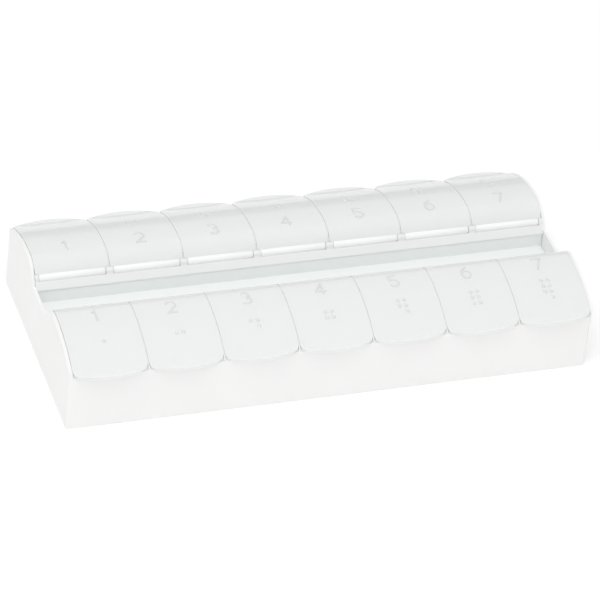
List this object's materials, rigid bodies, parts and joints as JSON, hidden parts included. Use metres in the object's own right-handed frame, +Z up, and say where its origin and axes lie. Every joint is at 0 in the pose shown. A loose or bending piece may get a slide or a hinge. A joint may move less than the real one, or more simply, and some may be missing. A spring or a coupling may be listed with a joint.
{
  "type": "travel pill organizer",
  "caption": "White weekly pill case with two rows of scooped compartments under clear domed lids hinged along a centre channel.",
  "frame": {"origin": "middle of the underside of the case, on the table", "axes": "+X along the rows of compartments, +Y towards the rear row, +Z up"},
  "size_m": [0.2, 0.093, 0.032],
  "materials": {
    "case": "satin white moulding",
    "channel_liner": "clear plastic with a faint green-grey tint",
    "hinge_strip": "clear plastic with a faint green-grey tint",
    "hinge_rod": "drawn wire",
    "lid": "frosted clear plastic with a faint green-grey tint"
  },
  "bodies": {
    "case": {"case": "case", "channel_liner": "channel_liner", "front_hinge_strip": "hinge_strip", "rear_hinge_strip": "hinge_strip", "front_hinge_rod": "hinge_rod", "rear_hinge_rod": "hinge_rod"},
    "front_lid_1": {"front_lid_1": "lid"},
    "front_lid_2": {"front_lid_2": "lid"},
    "front_lid_3": {"front_lid_3": "lid"},
    "front_lid_4": {"front_lid_4": "lid"},
    "front_lid_5": {"front_lid_5": "lid"},
    "front_lid_6": {"front_lid_6": "lid"},
    "front_lid_7": {"front_lid_7": "lid"},
    "rear_lid_1": {"rear_lid_1": "lid"},
    "rear_lid_2": {"rear_lid_2": "lid"},
    "rear_lid_3": {"rear_lid_3": "lid"},
    "rear_lid_4": {"rear_lid_4": "lid"},
    "rear_lid_5": {"rear_lid_5": "lid"},
    "rear_lid_6": {"rear_lid_6": "lid"},
    "rear_lid_7": {"rear_lid_7": "lid"}
  },
  "joints": [
    {"name": "front_lid_1_hinge", "type": "hinge", "parent": "case", "child": "front_lid_1", "pos_m": [-0.08469, -0.0108, 0.0263], "axis": [-1, 0, 0], "range_deg": [0, 100]},
    {"name": "front_lid_2_hinge", "type": "hinge", "parent": "case", "child": "front_lid_2", "pos_m": [-0.05646, -0.0108, 0.0263], "axis": [-1, 0, 0], "range_deg": [0, 100]},
    {"name": "front_lid_3_hinge", "type": "hinge", "parent": "case", "child": "front_lid_3", "pos_m": [-0.02823, -0.0108, 0.0263], "axis": [-1, 0, 0], "range_deg": [0, 100]},
    {"name": "front_lid_4_hinge", "type": "hinge", "parent": "case", "child": "front_lid_4", "pos_m": [0, -0.0108, 0.0263], "axis": [-1, 0, 0], "range_deg": [0, 100]},
    {"name": "front_lid_5_hinge", "type": "hinge", "parent": "case", "child": "front_lid_5", "pos_m": [0.02823, -0.0108, 0.0263], "axis": [-1, 0, 0], "range_deg": [0, 100]},
    {"name": "front_lid_6_hinge", "type": "hinge", "parent": "case", "child": "front_lid_6", "pos_m": [0.05646, -0.0108, 0.0263], "axis": [-1, 0, 0], "range_deg": [0, 100]},
    {"name": "front_lid_7_hinge", "type": "hinge", "parent": "case", "child": "front_lid_7", "pos_m": [0.08469, -0.0108, 0.0263], "axis": [-1, 0, 0], "range_deg": [0, 100]},
    {"name": "rear_lid_1_hinge", "type": "hinge", "parent": "case", "child": "rear_lid_1", "pos_m": [-0.08469, 0.0108, 0.0263], "axis": [1, 0, 0], "range_deg": [0, 100]},
    {"name": "rear_lid_2_hinge", "type": "hinge", "parent": "case", "child": "rear_lid_2", "pos_m": [-0.05646, 0.0108, 0.0263], "axis": [1, 0, 0], "range_deg": [0, 100]},
    {"name": "rear_lid_3_hinge", "type": "hinge", "parent": "case", "child": "rear_lid_3", "pos_m": [-0.02823, 0.0108, 0.0263], "axis": [1, 0, 0], "range_deg": [0, 100]},
    {"name": "rear_lid_4_hinge", "type": "hinge", "parent": "case", "child": "rear_lid_4", "pos_m": [0, 0.0108, 0.0263], "axis": [1, 0, 0], "range_deg": [0, 100]},
    {"name": "rear_lid_5_hinge", "type": "hinge", "parent": "case", "child": "rear_lid_5", "pos_m": [0.02823, 0.0108, 0.0263], "axis": [1, 0, 0], "range_deg": [0, 100]},
    {"name": "rear_lid_6_hinge", "type": "hinge", "parent": "case", "child": "rear_lid_6", "pos_m": [0.05646, 0.0108, 0.0263], "axis": [1, 0, 0], "range_deg": [0, 100]},
    {"name": "rear_lid_7_hinge", "type": "hinge", "parent": "case", "child": "rear_lid_7", "pos_m": [0.08469, 0.0108, 0.0263], "axis": [1, 0, 0], "range_deg": [0, 100]}
  ]
}
